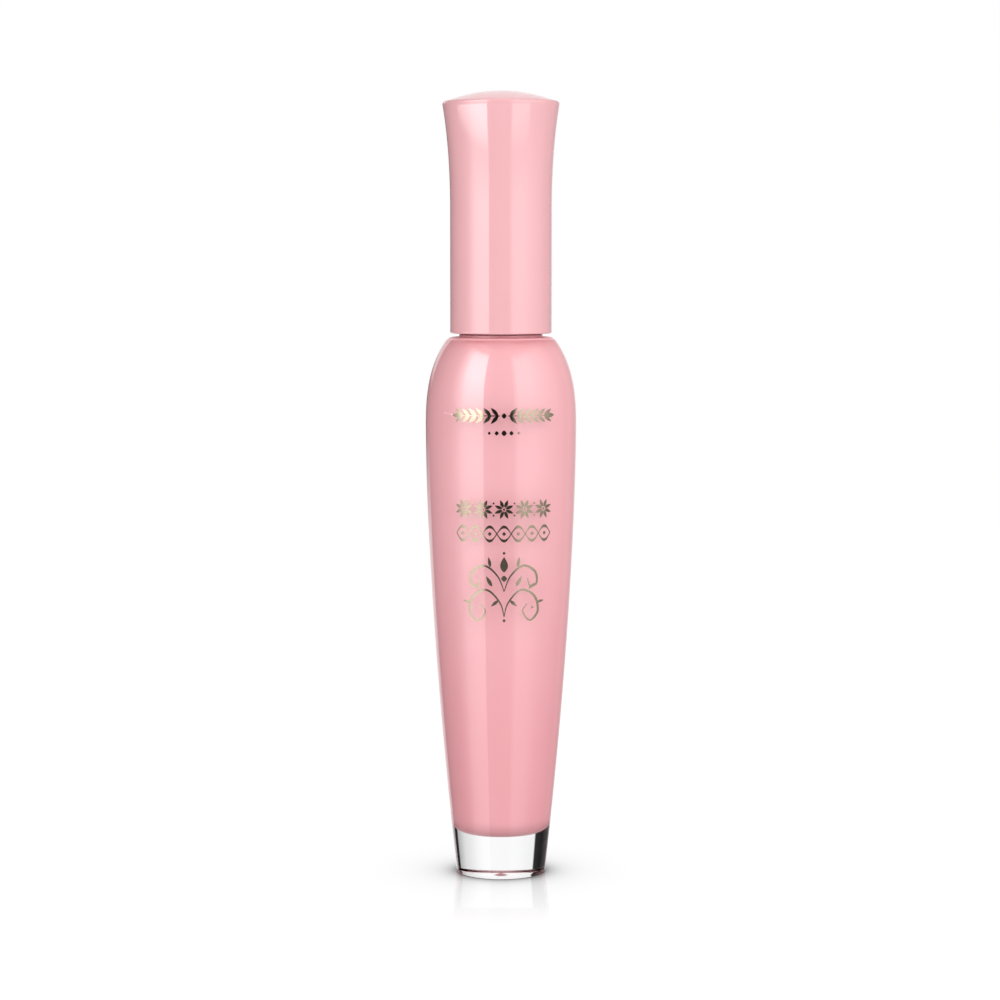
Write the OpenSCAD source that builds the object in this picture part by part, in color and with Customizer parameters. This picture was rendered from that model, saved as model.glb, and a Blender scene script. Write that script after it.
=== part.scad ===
// Mascara tube. A pink vial is moulded into a thick clear shell, and a screw cap carries
// the stem and the brush. Millimetres, +Z up, origin at the centre of the face it stands on.

/* [Bottle] */
// Radius of the clear shell where it stands
foot_r = 7.4; // [6.8:0.1:8]
// Radius of the shell at its widest
belly_r = 12.5; // [12:0.1:13]
// Height of the widest place above the table
belly_z = 75; // [72:0.5:76]
// Height of the shell's mouth, under the vial's flange
shell_h = 89.3; // [89:0.1:89.4]
// Clear wall between the outside and the vial
clear_wall = 2.4; // [1.8:0.1:2.8]
// Solid clear foot under the vial
clear_foot = 6.8; // [6:0.1:7.4]
// Wall of the pink vial
vial_wall = 1; // [0.8:0.1:1.2]
// Level that the mascara is filled to
fill_z = 60; // [45:1:66]

/* [Neck and thread] */
// Outer radius of the neck, without its thread
neck_r = 5.6; // [5.5:0.05:5.7]
// Height of the neck's rim
neck_top = 104; // [103:0.1:105]
// Radius of the collar that shows in the gap between bottle and cap
collar_r = 6.9; // [6.8:0.05:7.2]
// Thread pitch, which is the rise in one turn
pitch = 3; // [2.8:0.1:3.2]
// Turns from shut to free
turns_to_open = 1.5; // [1.4:0.05:1.6]

/* [Cap] */
// Outer radius of the cap's straight part
cap_r = 8.4; // [8.2:0.05:8.6]
// Outer radius of the flared rim
cap_rim_r = 9.65; // [9.5:0.05:9.8]
// Height where the cap starts
cap_bottom = 90.2; // [90.1:0.05:90.4]
// Height of the flared rim's edge
cap_rim_z = 128.3; // [128:0.1:128.6]
// Height of the top of the dome
cap_top = 130; // [129.6:0.1:130.4]

/* [Stem and brush] */
// Radius of the stem below its head
stem_r = 2; // [1.8:0.05:2.1]
// Radius of the stem's thicker head
stem_head_r = 2.9; // [2.8:0.05:3]
// Height of the stem's lower end
stem_bottom = 42; // [40:1:46]
// Height of the tip of the brush
brush_bottom = 12; // [11.6:0.1:14]
// Radius over the bristles
brush_r = 3.9; // [3:0.1:4]
// Radius of the twisted wire
wire_r = 0.65; // [0.5:0.05:0.7]

/* [Hidden] */
$fn = 96;

pink = [0.97, 0.70, 0.73];
eps = 0.01;
run_gap = 0.05;      // radial clearance of a running fit
seat_gap = 0.05;     // air between two flat faces of pieces that move apart

// How far the cap rises while it is unscrewed
thread_rise = pitch * turns_to_open;

// Outline of the bottle. The flank is a power curve from foot to belly, and each shoulder
// is the upper quarter of a superellipse round the belly's height.
flank_power = 1.65;
shoulder_power = 2.5;
shell_reach = 18.9;      // height at which the shell's shoulder would meet the axis
vial_reach = 17.9;
cavity_reach = 15.6;
flank_steps = 24;
shoulder_steps = 14;

function flank_r(z) =
    belly_r - (belly_r - foot_r) * pow((belly_z - z) / belly_z, flank_power);
function shoulder_r(z, inset, reach) =
    (belly_r - inset) * sqrt(1 - pow((z - belly_z) / reach, shoulder_power));
// Height at which a shoulder has come in to radius r
function shoulder_z(r, inset, reach) =
    belly_z + reach * pow(1 - pow(r / (belly_r - inset), 2), 1 / shoulder_power);
// Points of a flank from height z0 up to the belly, and of a shoulder up to radius r
function flank(z0, inset) = [
    for (i = [0:flank_steps])
        let (z = z0 + (belly_z - z0) * i / flank_steps) [flank_r(z) - inset, z]
];
function shoulder(r, inset, reach) = [
    for (i = [1:shoulder_steps])
        let (top = shoulder_z(r, inset, reach))
        let (z = belly_z + (top - belly_z) * sin(90 * i / shoulder_steps))
        [i == shoulder_steps ? r : shoulder_r(z, inset, reach), z]
];
// Quarter-round corner of radius c about [r, z], from angle a0 to angle a1
corner_steps = 8;
function corner(r, z, c, a0, a1) = [
    for (i = [0:corner_steps])
        let (a = a0 + (a1 - a0) * i / corner_steps) [r + c * cos(a), z + c * sin(a)]
];
// Outline of the vial's outside up to the collar, and of its inside up to the neck's bore
vial_corner = 3;
cavity_corner = vial_corner - vial_wall;
vial_inset = clear_wall;
cavity_inset = clear_wall + vial_wall;
cavity_floor = clear_foot + 1.2;
bore_r = 4.6;
function vial_outline() = concat(
    corner(flank_r(clear_foot + vial_corner) - vial_inset - vial_corner,
        clear_foot + vial_corner, vial_corner, -90, 0),
    flank(clear_foot + vial_corner + eps, vial_inset),
    shoulder(collar_r, vial_inset, vial_reach)
);
function cavity_outline() = concat(
    corner(flank_r(cavity_floor + cavity_corner) - cavity_inset - cavity_corner,
        cavity_floor + cavity_corner, cavity_corner, -90, 0),
    flank(cavity_floor + cavity_corner + eps, cavity_inset),
    shoulder(bore_r, cavity_inset, cavity_reach)
);

// Bottle details
foot_corner = 0.25;
mouth_corner = 0.4;
mouth_slope = 40;        // angle at which the shoulder runs into the mouth's corner
mouth_z = shell_h - mouth_corner * (1 - sin(mouth_slope));
mouth_r = shoulder_r(mouth_z, 0, shell_reach);
gate_r = 0.9;            // domed dimple where the shell was moulded
gate_depth = 0.8;
gate_steps = 8;
flange_t = 0.3;          // rim of the vial that covers the shell's mouth
flange_r = mouth_r - 0.25;
flange_corner = 0.15;
collar_top = cap_bottom - 0.2;

// Thread: ridges of the neck and of the inner cap, with the cap's ridge held up by the neck's
ridge_h = 0.7;
ridge_root_w = 1.4;
ridge_crest_w = 0.6;
ridge_sink = 0.25;       // depth that a ridge's root reaches into its wall
ridge_steps = 36;        // straight lengths in one turn
ridge_fade = 0.12;       // part of a turn over which a ridge rises from its wall
neck_ridge_z = 97.3;
neck_ridge_turns = 1.25;
cap_bore_r = neck_r + ridge_h + 0.25;
cap_ridge_z = neck_ridge_z + 0.55;
cap_ridge_turns = 1;
flank_gap = 0.22;        // axial play on the side that carries the pull
ridge_mesh = (ridge_root_w + ridge_crest_w) / 2 + ridge_crest_w * 0.25 + flank_gap;

// Wiper
wiper_flange_r = 5.4;
wiper_flange_t = 0.6;
wiper_mouth_r = 3.9;
wiper_bottom = 90.6;
wiper_funnel_top = 97;
wiper_orifice_r = stem_r + 0.06;
wiper_lip = 0.8;
wiper_snap_z = 100;
wiper_snap_h = 0.25;
wiper_top = neck_top + wiper_flange_t;

// Seals
washer_t = 0.8;
washer_r = 5.4;
washer_bore_r = stem_head_r + 0.1;
washer_bottom = wiper_top + seat_gap;
o_ring_wire_r = 0.75;
o_ring_r = wiper_mouth_r - run_gap - o_ring_wire_r;
o_ring_z = washer_bottom - thread_rise - o_ring_wire_r - seat_gap;
o_ring_groove_r = o_ring_r - o_ring_wire_r - run_gap;

// Cap
cap_bore = 7.3;
cap_flare_z = 110;       // height where the flare begins
cap_flare_power = 2.3;
cap_flare_steps = 12;
cap_rim_corner = 0.5;
cap_edge = 0.2;
dome_seat_z = 127.3;
dome_r = 9.05;
dome_skirt_bottom = 123.5;
dome_skirt_wall = 1.1;
dome_wall = 1.2;
dome_edge = 0.12;
cap_flare_top = cap_rim_z - cap_rim_corner;
function cap_outer_r(z) =
    cap_r + (cap_rim_r - cap_r) * pow((z - cap_flare_z) / (cap_flare_top - cap_flare_z), cap_flare_power);

// Inner cap
inner_cap_bottom = cap_bottom + 0.3;
inner_cap_roof = washer_bottom + washer_t + seat_gap;
inner_cap_roof_t = 1.6;
inner_cap_top = 114;
inner_cap_wall = 0.9;
boss_r = 4.3;
boss_top = 113;
rib_count = 6;
rib_t = 0.8;

// Stem and brush
head_bottom = wiper_funnel_top + 0.6;
head_taper = 2;
stem_top = boss_top - 0.6;
stem_tip_corner = 0.8;
wire_socket = 8;
wire_bottom = brush_bottom - 0.7;
brush_top = stem_bottom - 1.5;
brush_steps = 24;
channel_r = 4.4;
channel_bottom = 10.5;
// Full barrel, with a long taper to the tip and a short one to the stem
function brush_envelope(t) =
    brush_r * (0.5 + 0.5 * pow(sin(180 * pow(t, 0.75)), 0.55));

// Revolves an outline of [radius, height] points about the Z axis
module lathe(points) {
    rotate_extrude() polygon(points);
}

// A tube between two heights
module tube(outer_r, inner_r, z0, z1) {
    translate([0, 0, z0]) difference() {
        cylinder(r = outer_r, h = z1 - z0);
        translate([0, 0, -1]) cylinder(r = inner_r, h = z1 - z0 + 2);
    }
}

// One right-hand helical ridge on a wall of radius wall_r. side is 1 for a ridge that points
// outwards and -1 for one that points inwards. z is the middle of its lower end.
module thread_ridge(wall_r, side, z, turns, phase = 0) {
    steps = ceil(turns * ridge_steps);
    function rise(i) = min(1, min(i, steps - i) / (ridge_fade * ridge_steps) + 0.05);
    function section(i) = let (
        h = ridge_h * rise(i),
        crest_w = ridge_root_w - (ridge_root_w - ridge_crest_w) * rise(i),
        zc = z + pitch * turns * i / steps
    ) [
        [wall_r - side * ridge_sink, zc - ridge_root_w / 2],
        [wall_r + side * h, zc - crest_w / 2],
        [wall_r + side * h, zc + crest_w / 2],
        [wall_r - side * ridge_sink, zc + ridge_root_w / 2],
    ];
    points = [
        for (i = [0:steps])
            let (a = phase + 360 * turns * i / steps)
            for (p = section(i)) [p[0] * cos(a), p[0] * sin(a), p[1]]
    ];
    ends = [[0, 1, 2, 3], [for (k = [3:-1:0]) steps * 4 + k]];
    sides = [
        for (i = [0:steps - 1], k = [0:3])
            let (a = i * 4 + k, b = i * 4 + (k + 1) % 4)
            for (f = [[a, a + 4, b + 4], [a, b + 4, b]]) f
    ];
    faces = concat(ends, sides);
    polyhedron(points, side < 0 ? faces : [for (f = faces) [for (k = [len(f) - 1:-1:0]) f[k]]]);
}

// Thick clear shell with a solid foot, moulded round the vial
module bottle_shell() {
    color([0.93, 0.95, 0.96, 0.35]) difference() {
        lathe(concat(
            [[0, 0]],
            corner(flank_r(foot_corner) - foot_corner, foot_corner, foot_corner, -90, 0),
            flank(foot_corner + eps, 0),
            shoulder(mouth_r, 0, shell_reach),
            corner(mouth_r - mouth_corner * cos(mouth_slope), shell_h - mouth_corner,
                mouth_corner, mouth_slope + 10, 90),
            [[0, shell_h]]
        ));
        lathe(concat([[0, clear_foot]], vial_outline(), [[collar_r, shell_h + 1], [0, shell_h + 1]]));
        lathe(concat(
            [[0, -1], [gate_r, -1]],
            [for (i = [0:gate_steps])
                let (a = 90 * i / gate_steps) [i == gate_steps ? 0 : gate_r * cos(a), gate_depth * sin(a)]]
        ));
    }
}

// Pink vial with its flange over the shell's mouth, its collar, neck and outer thread
module inner_vial() {
    color(pink) {
        difference() {
            union() {
                lathe(concat(
                    [[0, clear_foot]],
                    vial_outline(),
                    [[collar_r, shell_h], [flange_r, shell_h]],
                    corner(flange_r - flange_corner, shell_h + flange_t - flange_corner, flange_corner, 0, 90),
                    [[collar_r, shell_h + flange_t], [collar_r, collar_top]],
                    [[neck_r, collar_top], [neck_r, neck_top], [0, neck_top]]
                ));
                thread_ridge(neck_r, 1, neck_ridge_z, neck_ridge_turns);
            }
            lathe(concat([[0, cavity_floor]], cavity_outline(), [[bore_r, neck_top + 1], [0, neck_top + 1]]));
            tube(bore_r + wiper_snap_h, bore_r - 1, wiper_snap_z - 1, wiper_snap_z + 1);
        }
    }
}

// Soft plug in the neck that strips spare mascara from the brush
module wiper() {
    color([0.95, 0.95, 0.93, 0.8]) lathe([
        [wiper_orifice_r, wiper_bottom],
        [wiper_orifice_r + 0.5, wiper_bottom],
        [bore_r - 0.9, wiper_funnel_top - 1.5],
        [bore_r, wiper_funnel_top],
        [bore_r, wiper_snap_z - 1],
        [bore_r + wiper_snap_h, wiper_snap_z - 0.5],
        [bore_r + wiper_snap_h, wiper_snap_z + 0.5],
        [bore_r, wiper_snap_z + 1],
        [bore_r, neck_top],
        [wiper_flange_r, neck_top],
        [wiper_flange_r, wiper_top],
        [wiper_mouth_r, wiper_top],
        [wiper_mouth_r, wiper_funnel_top + 0.2],
        [wiper_orifice_r, wiper_bottom + wiper_lip],
    ]);
}

// Mascara in the vial, with the space that the brush stands in
module mascara_paste() {
    color([0.06, 0.05, 0.05]) difference() {
        intersection() {
            lathe(concat([[0, cavity_floor]], cavity_outline(), [[0, neck_top]]));
            cylinder(r = belly_r, h = fill_z);
        }
        translate([0, 0, channel_bottom]) cylinder(r = channel_r, h = fill_z);
    }
}

// Flat washer that lies on the wiper's rim until the cap is free of its thread
module sealing_washer() {
    color([0.92, 0.92, 0.90]) tube(washer_r, washer_bore_r, washer_bottom, washer_bottom + washer_t);
}

// Rubber ring in the stem's groove, which seals in the wiper's mouth and carries the washer
module stem_o_ring() {
    color([0.15, 0.15, 0.15])
        rotate_extrude() translate([o_ring_r, o_ring_z]) circle(r = o_ring_wire_r);
}

// Outer cap: a straight tube that flares to a rounded rim, with a seat for the dome
module cap_shell() {
    color(pink) lathe(concat(
        [[cap_bore, cap_bottom], [cap_r - cap_edge, cap_bottom], [cap_r, cap_bottom + cap_edge]],
        [for (i = [0:cap_flare_steps])
            let (z = cap_flare_z + (cap_flare_top - cap_flare_z) * i / cap_flare_steps) [cap_outer_r(z), z]],
        corner(cap_rim_r - cap_rim_corner, cap_rim_z - cap_rim_corner, cap_rim_corner, 10, 90),
        [[dome_r + run_gap, cap_rim_z], [dome_r + run_gap, dome_seat_z], [cap_bore, dome_seat_z]]
    ));
}

// Domed disc that closes the top of the cap, with a skirt that is pressed into the bore
module cap_dome() {
    edge_z = cap_rim_z - 0.05;
    rise = cap_top - edge_z;
    ball_r = (dome_r * dome_r + rise * rise) / (2 * rise);
    color(pink) {
        rotate_extrude() difference() {
            intersection() {
                translate([0, cap_top - ball_r]) circle(r = ball_r, $fn = 360);
                polygon([
                    [0, dome_seat_z], [dome_r, dome_seat_z], [dome_r, edge_z - dome_edge],
                    [dome_r - dome_edge, edge_z + dome_edge], [dome_r - dome_edge, cap_top + 1], [0, cap_top + 1],
                ]);
            }
            intersection() {
                translate([0, cap_top - ball_r]) circle(r = ball_r - dome_wall, $fn = 360);
                square([cap_bore - dome_skirt_wall, cap_top]);
            }
        }
        tube(cap_bore, cap_bore - dome_skirt_wall, dome_skirt_bottom, dome_seat_z + eps);
    }
}

// Inner cap: the thread, the roof that presses on the washer, and the boss that holds the stem
module inner_cap() {
    color([0.93, 0.86, 0.87]) {
        tube(cap_bore, cap_bore_r, inner_cap_bottom, inner_cap_roof + eps);
        tube(cap_bore, stem_head_r, inner_cap_roof, inner_cap_roof + inner_cap_roof_t);
        tube(cap_bore, cap_bore - inner_cap_wall, inner_cap_roof, inner_cap_top);
        tube(boss_r, stem_head_r, inner_cap_roof, boss_top);
        for (i = [0:rib_count - 1])
            rotate([0, 0, 360 * i / rib_count])
                translate([boss_r - 0.3, -rib_t / 2, inner_cap_roof + inner_cap_roof_t - 0.2])
                    cube([cap_bore - inner_cap_wall / 2 - boss_r, rib_t, boss_top - 1 - inner_cap_roof - inner_cap_roof_t]);
        thread_ridge(cap_bore_r, -1, cap_ridge_z - ridge_mesh, cap_ridge_turns,
            360 * (cap_ridge_z - neck_ridge_z) / pitch);
    }
}

// Stem: a head with the ring's groove, a long thin rod and a socket for the wire
module stem() {
    groove_half = o_ring_wire_r + run_gap;
    color([0.12, 0.12, 0.13]) difference() {
        lathe(concat(
            [[0, stem_bottom]],
            corner(stem_r - stem_tip_corner, stem_bottom + stem_tip_corner, stem_tip_corner, -90, 0),
            [
                [stem_r, head_bottom - head_taper],
                [stem_head_r, head_bottom],
                [stem_head_r, o_ring_z - groove_half],
                [o_ring_groove_r, o_ring_z - groove_half],
                [o_ring_groove_r, o_ring_z + groove_half],
                [stem_head_r, o_ring_z + groove_half],
                [stem_head_r, stem_top],
                [0, stem_top],
            ]
        ));
        translate([0, 0, stem_bottom - 1]) cylinder(r = wire_r, h = wire_socket + 1);
    }
}

// Wire that the bristles are twisted into
module brush_wire() {
    color([0.7, 0.7, 0.72])
        translate([0, 0, wire_bottom]) cylinder(r = wire_r, h = stem_bottom + wire_socket - wire_bottom);
}

// Space that the bristles fill
module brush_bristles() {
    color([0.08, 0.08, 0.08]) lathe(concat(
        [[wire_r, brush_bottom]],
        [for (i = [0:brush_steps])
            let (t = (1 - cos(180 * i / brush_steps)) / 2)
            [brush_envelope(t), brush_bottom + (brush_top - brush_bottom) * t]],
        [[wire_r, brush_top]]
    ));
}

bottle_shell();
inner_vial();
wiper();
mascara_paste();
sealing_washer();
stem_o_ring();
cap_shell();
cap_dome();
inner_cap();
stem();
brush_wire();
brush_bristles();
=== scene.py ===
"""Looks of the mascara tube: fine geometry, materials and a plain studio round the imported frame.

Outlines are written in millimetres as (radius, height), and meshes are made from them in metres.
The tube stands on the origin with +Z up and its printed front towards -Y.
"""
import math
import random

import bmesh
import bpy
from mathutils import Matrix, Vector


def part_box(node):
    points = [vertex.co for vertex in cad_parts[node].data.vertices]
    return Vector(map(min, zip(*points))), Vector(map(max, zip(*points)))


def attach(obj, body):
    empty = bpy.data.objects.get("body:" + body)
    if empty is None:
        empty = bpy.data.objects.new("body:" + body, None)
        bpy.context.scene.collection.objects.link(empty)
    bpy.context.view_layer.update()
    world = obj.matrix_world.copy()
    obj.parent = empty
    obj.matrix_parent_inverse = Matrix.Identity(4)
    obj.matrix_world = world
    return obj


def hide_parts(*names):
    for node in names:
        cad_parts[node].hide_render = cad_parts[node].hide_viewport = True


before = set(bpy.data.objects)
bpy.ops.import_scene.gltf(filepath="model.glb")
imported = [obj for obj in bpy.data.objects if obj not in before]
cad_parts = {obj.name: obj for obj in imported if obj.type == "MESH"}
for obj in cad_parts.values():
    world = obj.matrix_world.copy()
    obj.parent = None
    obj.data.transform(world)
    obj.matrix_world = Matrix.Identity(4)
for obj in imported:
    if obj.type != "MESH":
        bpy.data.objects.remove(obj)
bpy.context.view_layer.update()

MM = 0.001
SEGMENTS = 192           # straight lengths round a turned piece
SHARP_ANGLE = 40         # edges that turn by more degrees than this stay crisp


# ---------------------------------------------------------------- sizes

def span(node):
    """Outer radius, lowest height and highest height of a CAD node, in millimetres."""
    low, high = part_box(node)
    return high.x / MM, low.z / MM, high.z / MM


belly_r, _, shell_top = span("bottle_shell")
_, vial_bottom, neck_top = span("inner_vial")
wiper_flange_r, wiper_bottom, wiper_top = span("wiper")
_, cavity_floor, fill_z = span("mascara_paste")
washer_r, washer_bottom, washer_top = span("sealing_washer")
o_ring_outer_r, o_ring_bottom, o_ring_top = span("stem_o_ring")
cap_rim_r, cap_bottom, cap_rim_z = span("cap_shell")
dome_r, dome_bottom, cap_top = span("cap_dome")
cap_bore, inner_cap_bottom, inner_cap_top = span("inner_cap")
stem_head_r, stem_bottom, stem_top = span("stem")
wire_r, wire_bottom, wire_top = span("brush_wire")
brush_r, brush_bottom, brush_top = span("brush_bristles")

# sizes of the CAD part that its boxes don't tell
foot_r = 7.4
belly_z = 75
shell_reach = 18.9       # height above the belly at which the shell's shoulder would meet the axis
vial_reach = 17.9
cavity_reach = 15.6
clear_wall = 2.4
vial_wall = 1.0
vial_corner = 3.0
collar_r = 6.9
collar_top = cap_bottom - 0.2
neck_r = 5.6
bore_r = 4.6
cap_r = 8.4
stem_r = 2.0
pitch = 3.0
dome_seat = 127.3
dome_edge_z = cap_rim_z - 0.05
flank_power = 1.65
shoulder_power = 2.5
mouth_z = shell_top - 0.14       # where the shell's outside turns in to its mouth,
mouth_in = 0.25                  # and how far in it goes
thread_z = 97.3                  # height at which the neck's thread starts


# ---------------------------------------------------------------- outlines

def flank_r(z):
    """Outside of the shell from the table up to the belly."""
    return belly_r - (belly_r - foot_r) * ((belly_z - z) / belly_z) ** flank_power


def shoulder_r(z, inset=0.0, reach=shell_reach):
    """Outside of the shell, or of a skin inset into it, above the belly."""
    return (belly_r - inset) * math.sqrt(1 - ((z - belly_z) / reach) ** shoulder_power)


def shell_r(z):
    """Outside of the shell at any height."""
    return flank_r(z) if z < belly_z else shoulder_r(z)


def stretch(function, z0, z1, steps, ease=False):
    """Points of an outline given by a function of height. ease packs them towards z1."""
    points = []
    for i in range(steps + 1):
        t = i / steps
        if ease:
            t = math.sin(t * math.pi / 2)
        z = z0 + (z1 - z0) * t
        points.append((function(z), z))
    return points


def bottle_outline(inset, z0, reach, end_r):
    """Flank and shoulder of a skin inset into the shell, from height z0 up to radius end_r."""
    end_z = belly_z + reach * (1 - (end_r / (belly_r - inset)) ** 2) ** (1 / shoulder_power)
    flank = stretch(lambda z: flank_r(z) - inset, z0, belly_z, 48)
    shoulder = stretch(lambda z: shoulder_r(z, inset, reach), belly_z, end_z, 28, ease=True)
    return flank + shoulder[1:]


def arc(r, z, radius, start, end, steps=10):
    """Points round a circle about (r, z), from one angle in degrees to another."""
    points = []
    for i in range(steps + 1):
        angle = math.radians(start + (end - start) * i / steps)
        points.append((r + radius * math.cos(angle), z + radius * math.sin(angle)))
    return points


def rounded_bottle(inset, bottom, corner, reach, end_r):
    """Outline of a skin inset into the shell, from the axis at its bottom up to radius end_r."""
    start = bottom + corner
    turn = arc(flank_r(start) - inset - corner, start, corner, -90, 0)
    return [(0, bottom)] + turn[:-1] + bottle_outline(inset, start, reach, end_r)


def soften(points, steps=5):
    """An outline whose corners are rounded. A corner is written (radius, height, rounding)."""
    def towards(a, b):
        length = math.dist(a, b)
        return ((b[0] - a[0]) / length, (b[1] - a[1]) / length), length

    out = []
    for i, point in enumerate(points):
        rounding = point[2] if len(point) > 2 else 0
        here = point[:2]
        if not rounding:
            out.append(here)
            continue
        before, reach_before = towards(here, points[i - 1][:2])
        after, reach_after = towards(here, points[(i + 1) % len(points)][:2])
        half = math.acos(max(-1, min(1, before[0] * after[0] + before[1] * after[1]))) / 2
        tangent = min(rounding / math.tan(half), 0.45 * reach_before, 0.45 * reach_after)
        radius = tangent * math.tan(half)
        lean = (before[0] + after[0], before[1] + after[1])
        scale = radius / math.sin(half) / math.hypot(*lean)
        centre = (here[0] + lean[0] * scale, here[1] + lean[1] * scale)

        def angle_of(side):
            x, z = here[0] + side[0] * tangent, here[1] + side[1] * tangent
            return math.atan2(z - centre[1], x - centre[0])

        start = angle_of(before)
        turn = angle_of(after) - start
        turn = (turn + math.pi) % (2 * math.pi) - math.pi
        guard = tangent * 1.3        # a point just past each end keeps the shading of flat faces flat
        out.append((here[0] + before[0] * guard, here[1] + before[1] * guard))
        for k in range(steps + 1):
            angle = start + turn * k / steps
            out.append((centre[0] + radius * math.cos(angle), centre[1] + radius * math.sin(angle)))
        out.append((here[0] + after[0] * guard, here[1] + after[1] * guard))
    return out


# ---------------------------------------------------------------- solids, as (points, faces)

def lathe(outline, segments=SEGMENTS, shift=None):
    """An outline revolved about Z. It starts and ends on the axis, or is joined end to start.
    shift(angle, radius, height) gives a change of radius, for pieces that aren't quite round."""
    points = []
    rings = []
    for r, z in outline:
        if r < 1e-6:
            rings.append([len(points)] * segments)
            points.append((0, 0, z))
            continue
        rings.append(range(len(points), len(points) + segments))
        for i in range(segments):
            angle = 2 * math.pi * i / segments
            out = r + (shift(angle, r, z) if shift else 0)
            points.append((out * math.cos(angle), out * math.sin(angle), z))
    pairs = list(zip(rings, rings[1:]))
    if outline[0][0] > 1e-6:
        pairs.append((rings[-1], rings[0]))
    faces = []
    for low, high in pairs:
        for i in range(segments):
            j = (i + 1) % segments
            corners = dict.fromkeys((low[i], low[j], high[j], high[i]))
            if len(corners) > 2:
                faces.append(tuple(corners))
    return points, faces


def tube_sides(count, steps):
    """Faces between the rings of a tube that has count points in a ring and steps lengths."""
    faces = []
    for i in range(steps):
        for k in range(count):
            a = i * count + k
            b = i * count + (k + 1) % count
            faces.append((a, b, b + count, a + count))
    return faces


def tube_along(path, radius_at, sides):
    """A closed tube along a path of (x, y, z). radius_at(t) is its radius, for t from 0 to 1."""
    points = []
    last = len(path) - 1
    for i, place in enumerate(path):
        ahead = path[min(i + 1, last)]
        behind = path[max(i - 1, 0)]
        along = [ahead[k] - behind[k] for k in range(3)]
        length = math.hypot(*along)
        along = [c / length for c in along]
        helper = (0, 0, 1) if abs(along[2]) < 0.9 else (1, 0, 0)
        side = cross(along, helper)
        width = math.hypot(*side)
        side = [c / width for c in side]
        up = cross(side, along)
        for k in range(sides):
            angle = 2 * math.pi * k / sides
            r = radius_at(i / last)
            a = r * math.cos(angle)
            b = r * math.sin(angle)
            points.append(tuple(place[c] + side[c] * a + up[c] * b for c in range(3)))
    faces = tube_sides(sides, last)
    faces.append(tuple(range(sides - 1, -1, -1)))
    faces.append(tuple(last * sides + k for k in range(sides)))
    return points, faces


def cross(a, b):
    return (a[1] * b[2] - a[2] * b[1], a[2] * b[0] - a[0] * b[2], a[0] * b[1] - a[1] * b[0])


def thread_ridge(wall_r, side, z, turns, phase):
    """A right-hand helical ridge on a wall. side is 1 for outwards and -1 for inwards."""
    height, root, crest, sink, per_turn, fade = 0.7, 1.4, 0.6, 0.2, 120, 0.12
    steps = round(turns * per_turn)
    points = []
    for i in range(steps + 1):
        rise = min(1, min(i, steps - i) / (fade * per_turn) + 0.05)
        h = height * rise
        w = root - (root - crest) * rise
        section = [
            (-sink, -root / 2), (0, -root / 2), (h * 0.5, -(root + w) / 4), (h * 0.88, -w / 2 - 0.03),
            (h, -w / 2 + 0.1), (h, w / 2 - 0.1), (h * 0.88, w / 2 + 0.03), (h * 0.5, (root + w) / 4),
            (0, root / 2), (-sink, root / 2),
        ]
        angle = phase + 2 * math.pi * turns * i / steps
        middle = z + pitch * turns * i / steps
        for out, up in section:
            r = wall_r + side * out
            points.append((r * math.cos(angle), r * math.sin(angle), middle + up))
    count = len(section)
    faces = tube_sides(count, steps)
    faces.append(tuple(range(count)))
    faces.append(tuple(steps * count + k for k in range(count)))
    return points, faces


def together(*solids):
    """Several solids as one."""
    points = []
    faces = []
    for more_points, more_faces in solids:
        base = len(points)
        points += more_points
        faces += [tuple(base + k for k in face) for face in more_faces]
    return points, faces


def add_object(name, data):
    """A new object in the scene."""
    made = bpy.data.objects.new(name, data)
    bpy.context.scene.collection.objects.link(made)
    return made


def piece(name, solid, material, body, replaces=(), sharp=SHARP_ANGLE):
    """Makes a solid, given in millimetres, into a piece that rides on a body."""
    points, faces = solid
    mesh = bpy.data.meshes.new(name)
    mesh.from_pydata([(x * MM, y * MM, z * MM) for x, y, z in points], [], faces)
    shaped = bmesh.new()
    shaped.from_mesh(mesh)
    bmesh.ops.recalc_face_normals(shaped, faces=shaped.faces)
    shaped.to_mesh(mesh)
    shaped.free()
    mesh.shade_smooth()
    mesh.set_sharp_from_angle(angle=math.radians(sharp))
    mesh.materials.append(material)
    made = add_object(name, mesh)
    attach(made, body)
    if replaces:
        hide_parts(*replaces)
    return made


# ---------------------------------------------------------------- materials

def add_node(tree, kind, *values, **named):
    """A new node. The values feed its first inputs, and a named input has _ for each space."""
    made = tree.nodes.new(kind)
    pairs = list(zip(made.inputs, values))
    pairs += [(made.inputs[key.replace("_", " ")], value) for key, value in named.items()]
    for socket, value in pairs:
        if isinstance(value, bpy.types.NodeSocket):
            tree.links.new(value, socket)
        elif value is not None:
            socket.default_value = value
    return made


def maths_node(tree, operation, a, b=None):
    """The result of a Math node on sockets or numbers."""
    made = add_node(tree, "ShaderNodeMath", a, b)
    made.operation = operation
    return made.outputs[0]


def blend(tree, factor, off, on):
    """A shader that is off where the factor is 0 and on where it is 1."""
    return add_node(tree, "ShaderNodeMixShader", factor, off, on).outputs[0]


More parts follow.
